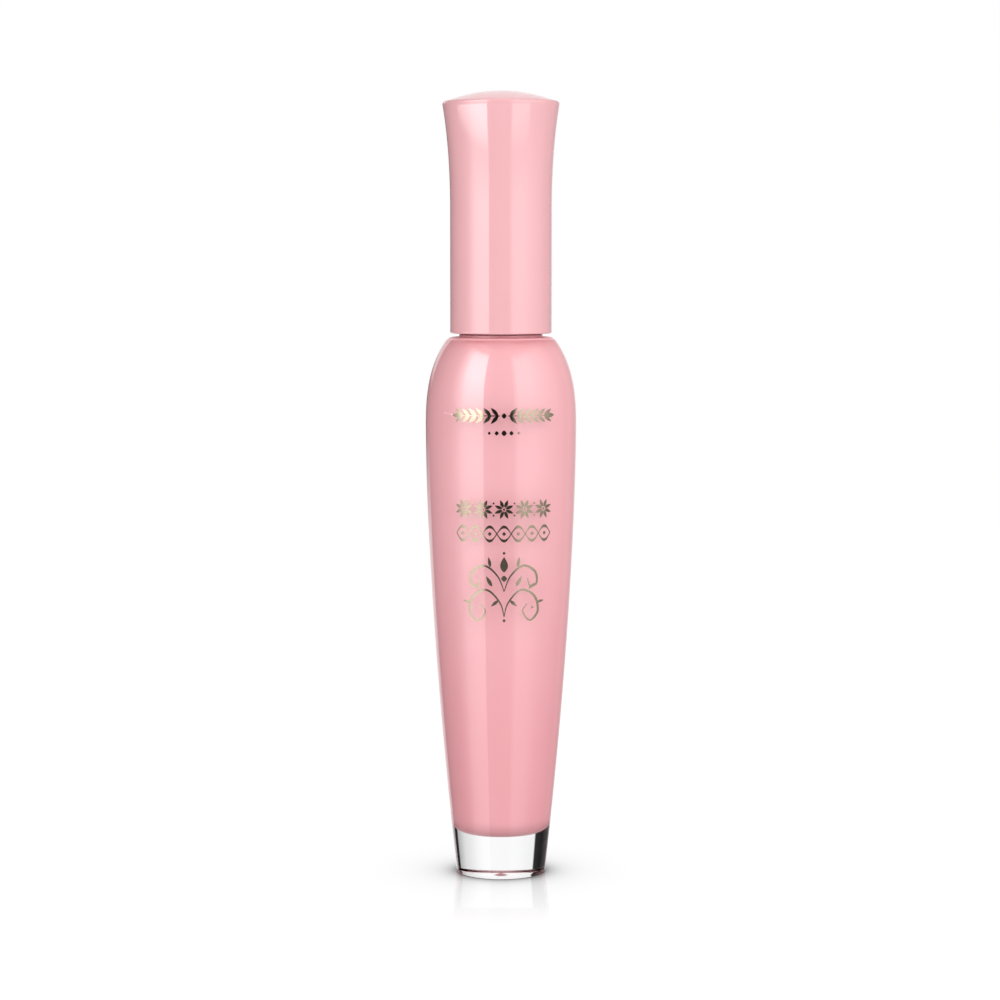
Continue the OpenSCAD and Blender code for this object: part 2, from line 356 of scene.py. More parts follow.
class Surface:
    """A Principled material, with short names for the nodes that shape its colour and relief."""

    def __init__(self, name, roughness=0.4, metallic=0.0, coat=0.0, coat_roughness=0.03, ior=1.5,
                 transmission=0.0, specular=0.5, subsurface=0.0):
        self.material = bpy.data.materials.new(name)
        self.material.use_nodes = True
        self.tree = self.material.node_tree
        self.shader = self.tree.nodes["Principled BSDF"]
        for socket, value in (
            ("Roughness", roughness), ("Metallic", metallic), ("Coat Weight", coat),
            ("Coat Roughness", coat_roughness), ("IOR", ior), ("Transmission Weight", transmission),
            ("Specular IOR Level", specular), ("Subsurface Weight", subsurface),
        ):
            self.set(socket, value)
        self.place = self.tree.nodes.new("ShaderNodeTexCoord").outputs["Object"]

    def set(self, socket, value):
        self.shader.inputs[socket].default_value = value

    def link(self, source, socket):
        self.tree.links.new(source, self.shader.inputs[socket])

    def node(self, kind, *values, **named):
        return add_node(self.tree, kind, *values, **named)

    def noise(self, size_mm, detail=3.0, stretch_z=1.0):
        """Soft noise whose features are about size_mm across, drawn out along Z if asked."""
        mapping = self.node("ShaderNodeMapping", Vector=self.place, Scale=(1, 1, 1 / stretch_z))
        grain = self.node("ShaderNodeTexNoise", Vector=mapping.outputs[0], Scale=1 / (size_mm * MM),
                          Detail=detail)
        return grain.outputs["Fac"]

    def colour(self, factor, low, high):
        """Base colour, which goes from low to high with the factor."""
        mix = self.tree.nodes.new("ShaderNodeMix")
        mix.data_type = "RGBA"
        self.tree.links.new(factor, mix.inputs["Factor"])
        for socket in mix.inputs:
            if socket.type == "RGBA":
                socket.default_value = (*(low if socket.name == "A" else high), 1)
        self.link(next(s for s in mix.outputs if s.type == "RGBA"), "Base Color")

    def roughness(self, factor, low, high, start=0.3, end=0.7):
        """Roughness, which goes from low to high while the factor goes from start to end."""
        self.link(self.remap(factor, start, end, low, high), "Roughness")

    def remap(self, value, from_low, from_high, to_low=0.0, to_high=1.0, smooth=False):
        made = self.node("ShaderNodeMapRange", value, from_low, from_high, to_low, to_high)
        made.interpolation_type = "SMOOTHSTEP" if smooth else "LINEAR"
        return made.outputs["Result"]

    def maths(self, operation, a, b=None):
        return maths_node(self.tree, operation, a, b)

    def height_mm(self):
        """Height above the table, in millimetres."""
        split = self.node("ShaderNodeSeparateXYZ", Vector=self.place)
        return self.maths("MULTIPLY", split.outputs["Z"], 1 / MM)

    def bump(self, height, strength, distance_mm):
        made = self.node("ShaderNodeBump", Height=height, Strength=strength, Distance=distance_mm * MM)
        self.link(made.outputs["Normal"], "Normal")

    def distance(self):
        """Distance from the piece's own origin, in metres."""
        away = self.node("ShaderNodeVectorMath", Vector=self.place)
        away.operation = "LENGTH"
        return away.outputs["Value"]

    def show(self, shader):
        """Shows another shader in place of the Principled one."""
        self.tree.links.new(shader, self.tree.nodes["Material Output"].inputs["Surface"])
        self.tree.nodes.remove(self.shader)


def moulded(name, low, high, size_mm, rough_low, rough_high, bump_mm=0.004, **values):
    """Moulded plastic: two close tones in soft clouds, uneven gloss and a faint skin."""
    surface = Surface(name, **values)
    clouds = surface.noise(size_mm, 4)
    surface.colour(clouds, low, high)
    surface.roughness(surface.noise(size_mm * 0.6), rough_low, rough_high)
    surface.bump(surface.noise(0.35, 2), 0.15, bump_mm)
    return surface


def clear_plastic():
    """Thick clear copolyester, polished, with the faint waves that moulding leaves."""
    surface = Surface("clear copolyester", roughness=0.0, ior=1.56, transmission=1.0)
    surface.colour(surface.noise(8, 2), (0.985, 0.99, 0.99), (1, 1, 1))
    surface.bump(surface.noise(9, 1, 3), 0.06, 0.02)
    return surface.material


def pink_plastic():
    """The vial's opaque pink, a little deeper towards the bottom."""
    surface = Surface("pink vial plastic", roughness=0.3)
    height = surface.remap(surface.height_mm(), 15, 66, smooth=True)
    by_height = surface.maths("MULTIPLY", height, 0.8)
    tone = surface.maths("ADD", by_height, surface.maths("MULTIPLY", surface.noise(6), 0.2))
    surface.colour(tone, (0.80, 0.335, 0.37), (0.86, 0.425, 0.455))
    surface.roughness(surface.noise(3), 0.28, 0.36)
    surface.bump(surface.noise(0.3, 2), 0.1, 0.003)
    return surface.material


def pink_lacquer(name):
    """Gloss lacquer over pink plastic, with the faintest orange peel."""
    surface = moulded(name, (0.79, 0.418, 0.442), (0.82, 0.436, 0.46), 7, 0.40, 0.46,
                      bump_mm=0.0015, coat=1.0, coat_roughness=0.02, specular=0.1)
    surface.set("Coat IOR", 1.55)
    return surface.material


def wiper_plastic():
    """Milky soft polyethylene, smeared with mascara low in the funnel."""
    surface = Surface("natural polyethylene", roughness=0.42, subsurface=0.15)
    surface.set("Subsurface Radius", (0.8, 0.8, 0.8))
    surface.set("Subsurface Scale", MM)
    height = surface.height_mm()
    reach = surface.maths("ADD", height, surface.remap(surface.noise(1.6, 5), 0.2, 0.8, -5, 5))
    smeared = surface.remap(reach, wiper_bottom + 3, wiper_bottom + 7, 1, 0, smooth=True)
    surface.colour(smeared, (0.80, 0.79, 0.75), (0.018, 0.015, 0.016))
    surface.roughness(smeared, 0.42, 0.22, 0, 1)
    surface.bump(surface.noise(0.5, 3), 0.3, 0.02)
    return surface.material


def wet_mascara(name):
    """Thick black cream: a wet film over soft lumps."""
    surface = Surface(name, coat=0.6, coat_roughness=0.12)
    lumps = surface.noise(1.2, 4)
    surface.colour(lumps, (0.006, 0.005, 0.006), (0.022, 0.018, 0.02))
    surface.roughness(surface.noise(0.7, 4), 0.12, 0.38)
    surface.bump(surface.noise(0.5, 5), 0.6, 0.08)
    return surface.material


def foam():
    """White closed-cell foam with fine pores."""
    surface = Surface("white foam", roughness=0.8)
    cells = surface.node("ShaderNodeTexVoronoi", Vector=surface.place, Scale=1 / (0.18 * MM))
    pores = cells.outputs["Distance"]
    surface.colour(pores, (0.84, 0.83, 0.80), (0.72, 0.71, 0.68))
    surface.roughness(surface.noise(1), 0.72, 0.88)
    surface.bump(pores, 0.5, 0.04)
    return surface.material


def rubber():
    """Satin black rubber."""
    return moulded("black rubber", (0.014, 0.014, 0.015), (0.03, 0.03, 0.031), 0.8, 0.45, 0.62,
                   bump_mm=0.012).material


def insert_plastic():
    """Satin pale pink polypropylene."""
    return moulded("satin polypropylene", (0.72, 0.50, 0.52), (0.78, 0.56, 0.58), 3, 0.38, 0.5,
                   bump_mm=0.01).material


def stem_plastic():
    """Smooth black polypropylene, with a film of mascara on the part that goes in the vial."""
    surface = Surface("black polypropylene", roughness=0.28)
    wet = surface.maths("ADD", surface.height_mm(), surface.remap(surface.noise(2.2, 5, 2), 0.2, 0.8, -7, 7))
    wet = surface.remap(wet, 74, 88, 1, 0, smooth=True)
    surface.colour(wet, (0.02, 0.02, 0.022), (0.009, 0.007, 0.008))
    surface.roughness(wet, 0.3, 0.16, 0, 1)
    film = surface.maths("MULTIPLY", surface.noise(0.8, 4, 2), wet)
    surface.bump(film, 0.5, 0.05)
    return surface.material


def steel_wire():
    """Drawn steel, finely scored along its length."""
    surface = Surface("drawn steel", metallic=1.0)
    scores = surface.noise(0.12, 3, 20)
    surface.colour(scores, (0.42, 0.42, 0.44), (0.66, 0.66, 0.68))
    surface.roughness(scores, 0.22, 0.4)
    surface.bump(scores, 0.3, 0.01)
    return surface.material


def fibre():
    """Black nylon, coated with mascara in places."""
    surface = Surface("black nylon fibre", roughness=0.4)
    coated = surface.noise(0.9, 3)
    surface.colour(coated, (0.028, 0.025, 0.027), (0.008, 0.007, 0.008))
    surface.roughness(coated, 0.5, 0.25)
    return surface.material


def gold_foil():
    """Mirror-bright pale gold foil, with the grain of hot stamping."""
    surface = Surface("pale gold foil", metallic=1.0)
    grain = surface.noise(0.25, 3)
    surface.colour(grain, (0.30, 0.25, 0.18), (0.38, 0.325, 0.24))
    surface.roughness(grain, 0.10, 0.18)
    surface.bump(surface.noise(0.12, 2), 0.1, 0.002)
    return surface.material


# ---------------------------------------------------------------- bottle

def clear_shell():
    """Thick clear shell with a solid foot and the dimple where it was moulded."""
    gate_r, gate_depth, gate_steps, gate_power = 0.95, 0.42, 12, 1.1
    gate = []
    for i in range(gate_steps + 1):
        gate.append((gate_r * i / gate_steps, gate_depth * (1 - (i / gate_steps) ** gate_power)))
    outside = bottle_outline(0, 0.6, shell_reach, shoulder_r(mouth_z))
    vial = rounded_bottle(clear_wall, vial_bottom, vial_corner, vial_reach, collar_r)
    solid = soften(
        gate
        + [(flank_r(0), 0, 0.1)]
        + outside
        + [(outside[-1][0] - mouth_in, shell_top, 0.1), (collar_r, shell_top, 0.06)]
        + vial[::-1],
        steps=8,
    )
    shell = piece("clear_shell", lathe(solid), clear_plastic(), "bottle", ["bottle_shell"])
    # clear plastic lets the light through to the vial and to the table
    shell.visible_shadow = False
    shell.visible_diffuse = False


def pink_vial():
    """Pink vial with a flange over the shell's mouth, its collar, threaded neck and snap groove. Its
    outside stands a hair into the clear shell, because the two are moulded together."""
    bite = 0.02
    flange_t = 0.3
    flange_r = shoulder_r(mouth_z) - mouth_in
    groove_z, groove = 100, 0.25
    lip_w = 1.1
    lip = []
    for degrees in range(10, 91, 10):
        a = math.radians(degrees)
        lip.append((flange_r - lip_w * (1 - math.cos(a)), shell_top + flange_t * math.sin(a)))
    outside = rounded_bottle(clear_wall - bite, vial_bottom - bite, vial_corner, vial_reach, collar_r)
    cavity = rounded_bottle(clear_wall + vial_wall, cavity_floor, vial_corner - vial_wall,
                            cavity_reach, bore_r)
    solid = soften(
        outside
        + [(collar_r, shell_top), (flange_r, shell_top, 0.03)] + lip
        + [(collar_r, shell_top + flange_t, 0.05), (collar_r, collar_top, 0.1), (neck_r, collar_top, 0.15)]
        + [(neck_r, neck_top, 0.2), (bore_r, neck_top, 0.1), (bore_r, groove_z + 1)]
        + [(bore_r + groove, groove_z + 1), (bore_r + groove, groove_z - 1), (bore_r, groove_z - 1)]
        + cavity[::-1],
        steps=6,
    )
    ridge = thread_ridge(neck_r, 1, thread_z, 1.25, 0)
    piece("pink_vial", together(lathe(solid), ridge), pink_plastic(), "bottle", ["inner_vial"])


def soft_wiper():
    """Soft plug with a flange, a snap bead and a funnel that ends in a thin lip."""
    mouth_r, funnel_top, orifice_r, lip = 3.9, 97, 2.06, 0.8
    bead_z, bead = 100, 0.25
    solid = soften([
        (orifice_r, wiper_bottom, 0.1), (orifice_r + 0.5, wiper_bottom, 0.2),
        (bore_r - 0.9, funnel_top - 1.5, 1.5),
        (bore_r, funnel_top, 0.3), (bore_r, bead_z - 1), (bore_r + bead, bead_z - 0.5, 0.15),
        (bore_r + bead, bead_z + 0.5, 0.15), (bore_r, bead_z + 1), (bore_r, neck_top, 0.08),
        (wiper_flange_r, neck_top, 0.12), (wiper_flange_r, wiper_top, 0.18), (mouth_r, wiper_top, 0.2),
        (mouth_r, funnel_top + 0.2, 0.8), (orifice_r, wiper_bottom + lip, 0.3),
    ])
    piece("soft_wiper", lathe(solid), wiper_plastic(), "bottle", ["wiper"])


def mascara_fill():
    """Cream left on the vial's wall, with ripples where the brush has run."""
    channel_r, channel_bottom = 4.4, 10.5
    inset = clear_wall + vial_wall
    wall = rounded_bottle(inset, cavity_floor, vial_corner - vial_wall, cavity_reach, bore_r)
    outside = [point for point in wall if point[1] < fill_z - 0.5]
    channel = stretch(lambda z: channel_r, fill_z - 0.6, channel_bottom + 0.4, 90)
    solid = soften(
        outside
        + [(flank_r(fill_z) - inset, fill_z), (flank_r(fill_z) - inset - 0.5, fill_z - 0.35, 0.4)]
        + [(channel_r, fill_z - 0.5, 0.4)] + channel + [(channel_r, channel_bottom, 0.6), (0, channel_bottom)]
    )

    def ripple(angle, r, z):
        if abs(r - channel_r) > 0.05 or not channel_bottom + 1 < z < fill_z - 1:
            return 0
        return 0.07 * math.sin(3 * angle + z * 1.9) + 0.05 * math.sin(7 * angle - z * 2.3)

    piece("mascara_cream", lathe(solid, 120, ripple), wet_mascara("mascara cream"),
          "bottle", ["mascara_paste"])


# ---------------------------------------------------------------- seals

def foam_washer():
    bore = stem_head_r + 0.1
    solid = soften([
        (bore, washer_bottom, 0.08), (washer_r, washer_bottom, 0.1),
        (washer_r, washer_top, 0.1), (bore, washer_top, 0.08),
    ])
    piece("foam_washer", lathe(solid), foam(), "washer", ["sealing_washer"])


def rubber_ring():
    """Round rubber ring, with the thin flash line that its mould leaves."""
    wire = (o_ring_top - o_ring_bottom) / 2
    ring_r = o_ring_outer_r - wire
    middle = (o_ring_top + o_ring_bottom) / 2
    steps = 40
    section = []
    for i in range(steps):
        angle = 2 * math.pi * i / steps
        flash = 0.02 if i in (0, steps // 2) else 0
        r = wire - 0.02 + flash
        section.append((ring_r + r * math.cos(angle), middle + r * math.sin(angle)))
    piece("rubber_ring", lathe(section), rubber(), "stem_seal", ["stem_o_ring"])


# ---------------------------------------------------------------- cap

def flared_cap():
    """Straight tube that flares to a rounded rim, with a seat for the dome."""
    flare_z, power, rim_round = 110, 2.3, 0.55
    flare_top = cap_rim_z - rim_round
    seat_r = dome_r + 0.1
    outer = stretch(lambda z: cap_r + (cap_rim_r - cap_r) * ((z - flare_z) / (flare_top - flare_z)) ** power,
                    flare_z, flare_top, 36)
    solid = soften(
        [(cap_bore, cap_bottom, 0.1), (cap_r, cap_bottom, 0.22)]
        + outer[:-1]
        + arc(cap_rim_r - rim_round, flare_top, rim_round, 0, 88)
        + [(seat_r, dome_edge_z), (seat_r, dome_seat, 0.05), (cap_bore, dome_seat, 0.05)],
        steps=8,
    )
    piece("flared_cap", lathe(solid), pink_lacquer("pink cap lacquer"), "cap", ["cap_shell"])


def domed_top():
    """Shallow domed disc with a bevelled edge and a skirt that is pressed into the cap."""
    edge_round = 0.2
    rise = cap_top - dome_edge_z
    ball_r = (dome_r ** 2 + rise ** 2) / (2 * rise)
    skirt_r = cap_bore - 1.1

    def ball(r, inset=0.0):
        return r, cap_top - ball_r + math.sqrt((ball_r - inset) ** 2 - r ** 2)

    steps = 28
    top = [ball((dome_r - edge_round) * math.sin(math.pi / 2 * (1 - i / steps))) for i in range(steps + 1)]
    under = [ball(skirt_r * i / 12, 1.2) for i in range(13)]
    solid = soften(
        [(dome_r, dome_seat, 0.05)]
        + arc(dome_r - edge_round, top[0][1] - edge_round, edge_round, 0, 75, 6) + top[:-1] + [(0, cap_top)]
        + under + [(skirt_r, dome_bottom, 0.1), (cap_bore, dome_bottom, 0.15), (cap_bore, dome_seat)]
    )
    start = solid.index((0, cap_top))
    solid = solid[start + 1:] + solid[:start + 1]
    piece("domed_top", lathe(solid), pink_lacquer("pink dome lacquer"), "cap", ["cap_dome"])


def rounded_bar(x0, x1, width, z0, z1, turn):
    """An upright bar that runs outwards from x0 to x1, turned about Z, with its top edges cut back."""
    half, edge = width / 2, 0.12
    section = [
        (-half, z0), (half, z0), (half, z1 - edge), (half - edge, z1), (edge - half, z1), (-half, z1 - edge),
    ]
    points = [
        (x * math.cos(turn) - y * math.sin(turn), x * math.sin(turn) + y * math.cos(turn), z)
        for x in (x0, x1) for y, z in section
    ]
    count = len(section)
    return points, [tuple(range(count)), tuple(range(count, 2 * count))] + tube_sides(count, 1)


def threaded_insert():
    """Inner cap: thread, roof over the washer, boss round the stem, and ribs between them."""
    thread_bore, roof_z, roof_t = 6.55, washer_top + 0.05, 1.6
    wall_in, boss_r, boss_top, ribs = cap_bore - 0.9, 4.3, 113, 6
    floor = roof_z + roof_t
    solid = soften([
        (thread_bore, inner_cap_bottom, 0.25), (cap_bore - 0.01, inner_cap_bottom, 0.15),
        (cap_bore - 0.01, inner_cap_top, 0.15), (wall_in, inner_cap_top, 0.15), (wall_in, floor, 0.2),
        (boss_r, floor, 0.2), (boss_r, boss_top, 0.2), (stem_head_r, boss_top, 0.1),
        (stem_head_r, roof_z, 0.06), (thread_bore, roof_z, 0.1),
    ])
    bars = [
        rounded_bar(boss_r - 0.2, wall_in + 0.2, 0.8, floor - 0.2, boss_top - 1, 2 * math.pi * i / ribs)
        for i in range(ribs)
    ]
    lead = 0.55              # the insert's ridge starts this far up the neck's helix,
    mesh_gap = 1 + 0.15 + 0.22   # and this far below it
    ridge = thread_ridge(thread_bore, -1, thread_z + lead - mesh_gap, 1, 2 * math.pi * lead / pitch)
    piece("threaded_insert", together(lathe(solid), ridge, *bars), insert_plastic(),
          "cap", ["inner_cap"])


# ---------------------------------------------------------------- stem and brush

def black_stem():
    """Stem with a thick head, the ring's groove, a rounded tip and a socket for the wire."""
    middle = (o_ring_top + o_ring_bottom) / 2
    play, head_z = 0.05, 97.6
    half = (o_ring_top - o_ring_bottom) / 2 + play
    groove_r = o_ring_outer_r - 2 * (half - play) - play
    solid = soften([
        (wire_r, stem_bottom, 0.15), (stem_r, stem_bottom, 0.8), (stem_r, head_z - 2, 1.0),
        (stem_head_r, head_z, 0.4), (stem_head_r, middle - half, 0.1), (groove_r, middle - half, 0.1),
        (groove_r, middle + half, 0.1), (stem_head_r, middle + half, 0.1), (stem_head_r, stem_top, 0.3),
        (0, stem_top), (0, wire_top), (wire_r, wire_top),
    ])
    start = solid.index((0, wire_top))
    solid = solid[start:] + solid[:start]
    piece("black_stem", lathe(solid, 96), stem_plastic(), "cap", ["stem"])


TWIST = 3.4              # rise of the wire pair in one turn


def twisted_wire():
    """Two wires twisted together, which grip the fibres between them."""
    strand_r = wire_r / 2
    strands = []
    for side in (0, math.pi):
        steps = 420
        low = wire_bottom + 0.05
        path = []
        for i in range(steps + 1):
            z = low + (wire_top - 0.05 - low) * i / steps
            angle = side + 2 * math.pi * z / TWIST
            path.append((strand_r * math.cos(angle), strand_r * math.sin(angle), z))

        def radius_at(t):
            tip = min(t, 1 - t) * steps / 4
            return strand_r * math.sqrt(max(0.05, 1 - max(0, 1 - tip) ** 2))
        strands.append(tube_along(path, radius_at, 12))
    piece("twisted_wire", together(*strands), steel_wire(), "cap", ["brush_wire"])


def brush_envelope(z):
    """Radius over the bristles: a full barrel with a long taper to the tip."""
    t = min(1, max(0, (z - brush_bottom) / (brush_top - brush_bottom)))
    return brush_r * (0.5 + 0.5 * math.sin(math.pi * t ** 0.75) ** 0.55)


def bristles():
    """Fibres that stand out from the twist of the wire, in a double helix of soft tufts."""
    dice = random.Random(7)
    count, margin, root = 2600, 0.06, 0.28
    fibres = []
    for i in range(count):
        z = brush_bottom + 0.15 + (brush_top - brush_bottom - 0.3) * (i + dice.random()) / count
        angle = 2 * math.pi * z / TWIST + math.pi / 2 + math.pi * (i % 2) + dice.gauss(0, 0.42)
        reach = min(brush_envelope(z) - margin, brush_r - margin) * (1 - 0.1 * dice.random() ** 2)
        lean = dice.gauss(0, 0.05)
        bend = dice.gauss(0, 0.05)
        path = []
        for k in range(5):
            t = k / 4
            r = root + (reach - root) * t
            a = angle + bend * t * t
            height = clamp(z + lean * r * t, brush_bottom + margin, brush_top - margin)
            path.append((r * math.cos(a), r * math.sin(a), height))
        thick = 0.045 + 0.02 * dice.random()
        blob = 1 + (0.9 * dice.random() if dice.random() < 0.25 else 0)
        fibres.append(tube_along(path, lambda t: thick * (1 - 0.45 * t) * (blob if t > 0.8 else 1), 4))
    piece("bristles", together(*fibres), fibre(), "cap", ["brush_bristles"])


def clamp(value, low, high):
    return max(low, min(high, value))


def cream_on_brush():
    """Mascara that clings round the wire and in lumps among the fibres."""
    dice = random.Random(11)
    waves = [(dice.randint(1, 4), dice.uniform(0.8, 3.5), dice.uniform(0, 6.3)) for _ in range(7)]
    low, high = brush_bottom + 0.1, brush_top - 0.1
    steps = 150
    core = [(0, low)]
    for i in range(1, steps):
        z = low + (high - low) * i / steps
        core.append((0.25 + 0.33 * brush_envelope(z) * min(1, 4 * min(i, steps - i) / steps + 0.1), z))
    core.append((0, high))

    def lumps(angle, r, z):
        twist = angle - 2 * math.pi * z / TWIST
        swell = 0.22 * math.cos(2 * twist + math.pi)
        for turns, rate, start in waves:
            swell += 0.06 * math.sin(turns * angle + rate * z + start)
        return r * 0.8 * swell

    piece("cream_on_brush", lathe(core, 72, lumps), wet_mascara("cream on the brush"), "cap")


# ---------------------------------------------------------------- foil ornament on the front

FOIL_X = 0.5             # the ornament stands a little to the right of the axis
FOIL_LIFT = 0.012
FOIL_THICK = 0.02


def on_shell(x, z, lift):
    """A point of the shell's front, x to the side and z high, raised off its surface."""
    r = shell_r(z) + lift
    angle = (x + FOIL_X) / shell_r(z)
    return (r * math.sin(angle), -r * math.cos(angle), z)


def foil_stroke(line, width_at):
    """A flat stroke along a line of (x, z) on the shell. width_at(t) is its width."""
    across = (-0.5, -0.25, 0, 0.25, 0.5)
    count = len(across)
    points = []
    faces = []
    last = len(line) - 1
    for i, (x, z) in enumerate(line):
        ahead = line[min(i + 1, last)]
        behind = line[max(i - 1, 0)]
        dx = ahead[0] - behind[0]
        dz = ahead[1] - behind[1]
        length = math.hypot(dx, dz)
        width = width_at(i / last)
        for lift in (FOIL_LIFT, FOIL_LIFT - FOIL_THICK):
            for k in across:
                points.append(on_shell(x - dz / length * width * k, z + dx / length * width * k, lift))
    row = 2 * count
    for i in range(last):
        a = i * row
        for k in range(count - 1):
            faces.append((a + k, a + k + 1, a + k + 1 + row, a + k + row))
            b = a + count
            faces.append((b + k, b + k + row, b + k + 1 + row, b + k + 1))
        faces.append((a, a + row, a + count + row, a + count))
        faces.append((a + count - 1, a + row - 1, a + 2 * row - 1, a + row + count - 1))
    for a in (0, last * row):
        back = tuple(a + count + k for k in range(count - 1, -1, -1))
        faces.append(tuple(a + k for k in range(count)) + back)
    return points, faces


def leaf(x, z, length, width, turn, steps=14):
    """A pointed leaf that grows from (x, z) in the direction turn, in degrees from the right."""
    c, s = math.cos(math.radians(turn)), math.sin(math.radians(turn))
    line = [(x + c * length * i / steps, z + s * length * i / steps) for i in range(steps + 1)]
    return foil_stroke(line, lambda t: 0.03 + width * math.sin(math.pi * t ** 0.8))


def dot(x, z, r, steps=12):
    """A round spot."""
    line = [(x - r * math.cos(math.pi * i / steps), z) for i in range(steps + 1)]

    def width_at(t):
        return 0.02 + 2 * r * math.sin(math.pi * (0.5 - 0.5 * math.cos(math.pi * t)))

    return foil_stroke(line, width_at)


def curve(points):
    """A smooth line through points, by Catmull-Rom spans."""
    per_span = 10
    ends = [points[0]] + list(points) + [points[-1]]
    line = []
    for a, b, c, d in zip(ends, ends[1:], ends[2:], ends[3:]):
        for i in range(per_span):
            t = i / per_span
            line.append(tuple(
                0.5 * (2 * b[k] + (c[k] - a[k]) * t + (2 * a[k] - 5 * b[k] + 4 * c[k] - d[k]) * t * t
                       + (3 * b[k] - a[k] - 3 * c[k] + d[k]) * t ** 3) for k in range(2)))
    line.append(tuple(points[-1]))
    return line


def swelling(low, high):
    """Width of a pen stroke that is thin at its ends and thick in the middle."""
    return lambda t: low + (high - low) * math.sin(math.pi * t) ** 1.3


def garland(z, half_width, pairs, size):
    """A laurel garland: a thin stem with pairs of leaves that point away from a middle dot."""
    marks = [dot(0, z, 0.42)]
    for side in (1, -1):
        stem = [(side * (0.7 + (half_width - 0.7) * i / 20), z) for i in range(21)]
        marks.append(foil_stroke(stem, lambda t: 0.2 - 0.08 * t))
        for i in range(pairs):
            x = side * (0.95 + (half_width - 1.9) * i / (pairs - 1))
            for rise in (1, -1):
                turn = rise * (48 - 14 * i / pairs)
                marks.append(leaf(x, z, size, size * 0.34, turn if side > 0 else 180 - turn))
        marks.append(leaf(side * (half_width - 0.3), z, size * 0.8, size * 0.4, 0 if side > 0 else 180))
    return marks


def dot_row(z, half_width, count):
    """A row of dots that grow towards the middle."""
    marks = []
    for i in range(count):
        t = 2 * i / (count - 1) - 1
        marks.append(dot(t * half_width, z, 0.45 - 0.2 * abs(t)))
    return marks


def rosette_row(z, half_width, count, size):
    """Eight-petalled rosettes with two dots between each pair."""
    marks = []
    for i in range(count):
        x = -half_width + 2 * half_width * i / (count - 1)
        for k in range(8):
            turn = math.radians(22.5 + 45 * k)
            heart = (x + 0.3 * math.cos(turn), z + 0.3 * math.sin(turn))
            marks.append(leaf(*heart, size / 2 - 0.3, 0.52, math.degrees(turn)))
        marks.append(dot(x, z, 0.2))
        if i < count - 1:
            for rise in (1, -1):
                marks.append(dot(x + half_width / (count - 1), z + rise * size * 0.3, 0.17))
    return marks


def wave_row(z, half_width, waves, size):
    """Two waves that cross, thick at the crests and thin between, with a dot in each eye."""
    marks = []
    steps = 22 * waves
    for side in (1, -1):
        line = []
        for i in range(steps + 1):
            height = z + side * size / 2 * math.sin(math.pi * waves * i / steps)
            line.append((-half_width + 2 * half_width * i / steps, height))
        marks.append(foil_stroke(line, lambda t: 0.16 + 0.34 * math.sin(math.pi * waves * t) ** 4))
    for i in range(waves):
        marks.append(dot(-half_width + 2 * half_width * (i + 0.5) / waves, z, 0.3))
    return marks


def flourish(z, half_width, height):
    """A vine that curls out to both sides round a bud. Places are shares of half_width and height."""
    vine = [(0.0, -0.5), (0.10, -0.28), (0.42, -0.08), (0.78, -0.18), (0.88, -0.42), (0.66, -0.56),
            (0.47, -0.42), (0.58, -0.30)]
    crown = [(0.0, -0.1), (0.16, 0.14), (0.48, 0.30), (0.80, 0.20), (0.84, 0.02), (0.66, -0.02), (0.60, 0.10)]
    marks = []
    for side in (1, -1):
        for route in (vine, crown):
            line = curve([(side * x * half_width, z + y * height) for x, y in route])
            marks.append(foil_stroke(line, swelling(0.14, 0.42)))
        for x, y, length, width, turn in (
            (0.30, -0.02, 1.9, 0.6, 60), (0.62, -0.06, 1.5, 0.5, 35), (0.14, -0.24, 1.6, 0.5, -40),
            (0.34, 0.28, 1.7, 0.5, 80), (0.86, -0.28, 1.3, 0.45, 10),
        ):
            turn = turn if side > 0 else 180 - turn
            marks.append(leaf(side * x * half_width, z + y * height, length, width, turn))
        marks.append(dot(side * 0.72 * half_width, z - 0.36 * height, 0.22))
    marks.append(leaf(0, z + 0.2 * height, 0.24 * height, 1.25, 90))
    marks.append(dot(0, z + 0.1 * height, 0.5))
    marks.append(dot(0, z + 0.5 * height, 0.24))
    marks.append(dot(0, z - 0.56 * height, 0.26))
    return marks


def foil_ornament():
    """A generic ornament where such tubes carry their print: garland, dots, rosettes, waves, vine."""
    marks = garland(77.2, 7.9, 6, 1.75)
    marks += dot_row(74.4, 2.4, 5)
    marks += rosette_row(62.0, 6.8, 5, 3.3)
    marks += wave_row(58.0, 8.2, 7, 2.3)
    marks += flourish(49.6, 6.6, 10.5)
    piece("foil_ornament", together(*marks), gold_foil(), "bottle", sharp=60)


# ---------------------------------------------------------------- studio

